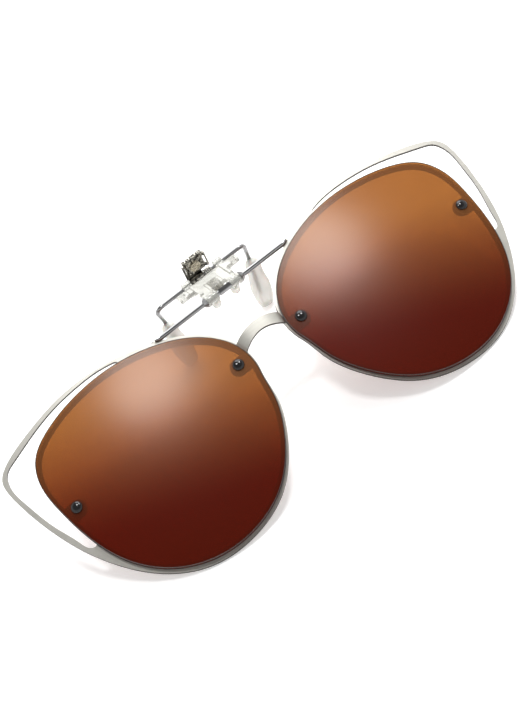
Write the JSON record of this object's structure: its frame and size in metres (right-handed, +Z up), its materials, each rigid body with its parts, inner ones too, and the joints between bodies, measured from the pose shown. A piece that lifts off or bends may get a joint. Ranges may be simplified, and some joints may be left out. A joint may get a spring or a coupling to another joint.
{
  "type": "clip-on flip-up lenses",
  "caption": "Cat-eye tinted lenses on a stamped metal front, hinged on a cross wire to a clear spring clip with a thumb lever and soft paddles, so they flip up from the spectacles below.",
  "frame": {"origin": "centre of the bounding box's base, on the table that the object lies on", "axes": "+X across the face towards the wearer's-left lens as seen from the front, +Y from the lower rims towards the clip, +Z up from the table; the lens plane leans 25 degrees to the table about X"},
  "size_m": [0.1442, 0.0651, 0.0316],
  "materials": {
    "frame": "satin champagne-silver sheet",
    "lens": "brown gradient tint, polished",
    "screw": "black, glossy",
    "washer": "clear",
    "nut": "bright turned steel",
    "wire": "polished",
    "solder": "smooth",
    "clear": "clear moulded plastic",
    "spring": "polished spring steel",
    "soft": "translucent soft silicone",
    "lever": "polished stamped sheet",
    "badge": "polished"
  },
  "bodies": {
    "lens_front": {"front_frame": "frame", "lens_left": "lens", "lens_right": "lens", "lens_screws": "screw", "screw_washers": "washer", "screw_nuts": "nut", "cross_wire": "wire", "wire_solder": "solder", "detent_cam": "wire", "wire_collars": "wire"},
    "clip": {"clip_body": "clear", "detent_spring": "spring", "spring_rivets": "spring", "front_pad_left": "soft", "front_pad_right": "soft", "torsion_spring": "spring"},
    "jaw": {"jaw_wire": "wire", "thumb_lever": "lever", "lever_badge": "badge", "paddle_left": "soft", "paddle_right": "soft"}
  },
  "joints": [
    {"name": "flip_hinge", "type": "hinge", "parent": "lens_front", "child": "clip", "pos_m": [0, 0.01613, 0.02606], "axis": [1, 0, 0], "range_deg": [-85, 5]},
    {"name": "jaw_hinge", "type": "hinge", "parent": "clip", "child": "jaw", "pos_m": [0, 0.02788, 0.02404], "axis": [1, 0, 0], "range_deg": [0, 35], "stiffness_Nm_per_rad": 0.02, "springref_deg": -20.05}
  ]
}
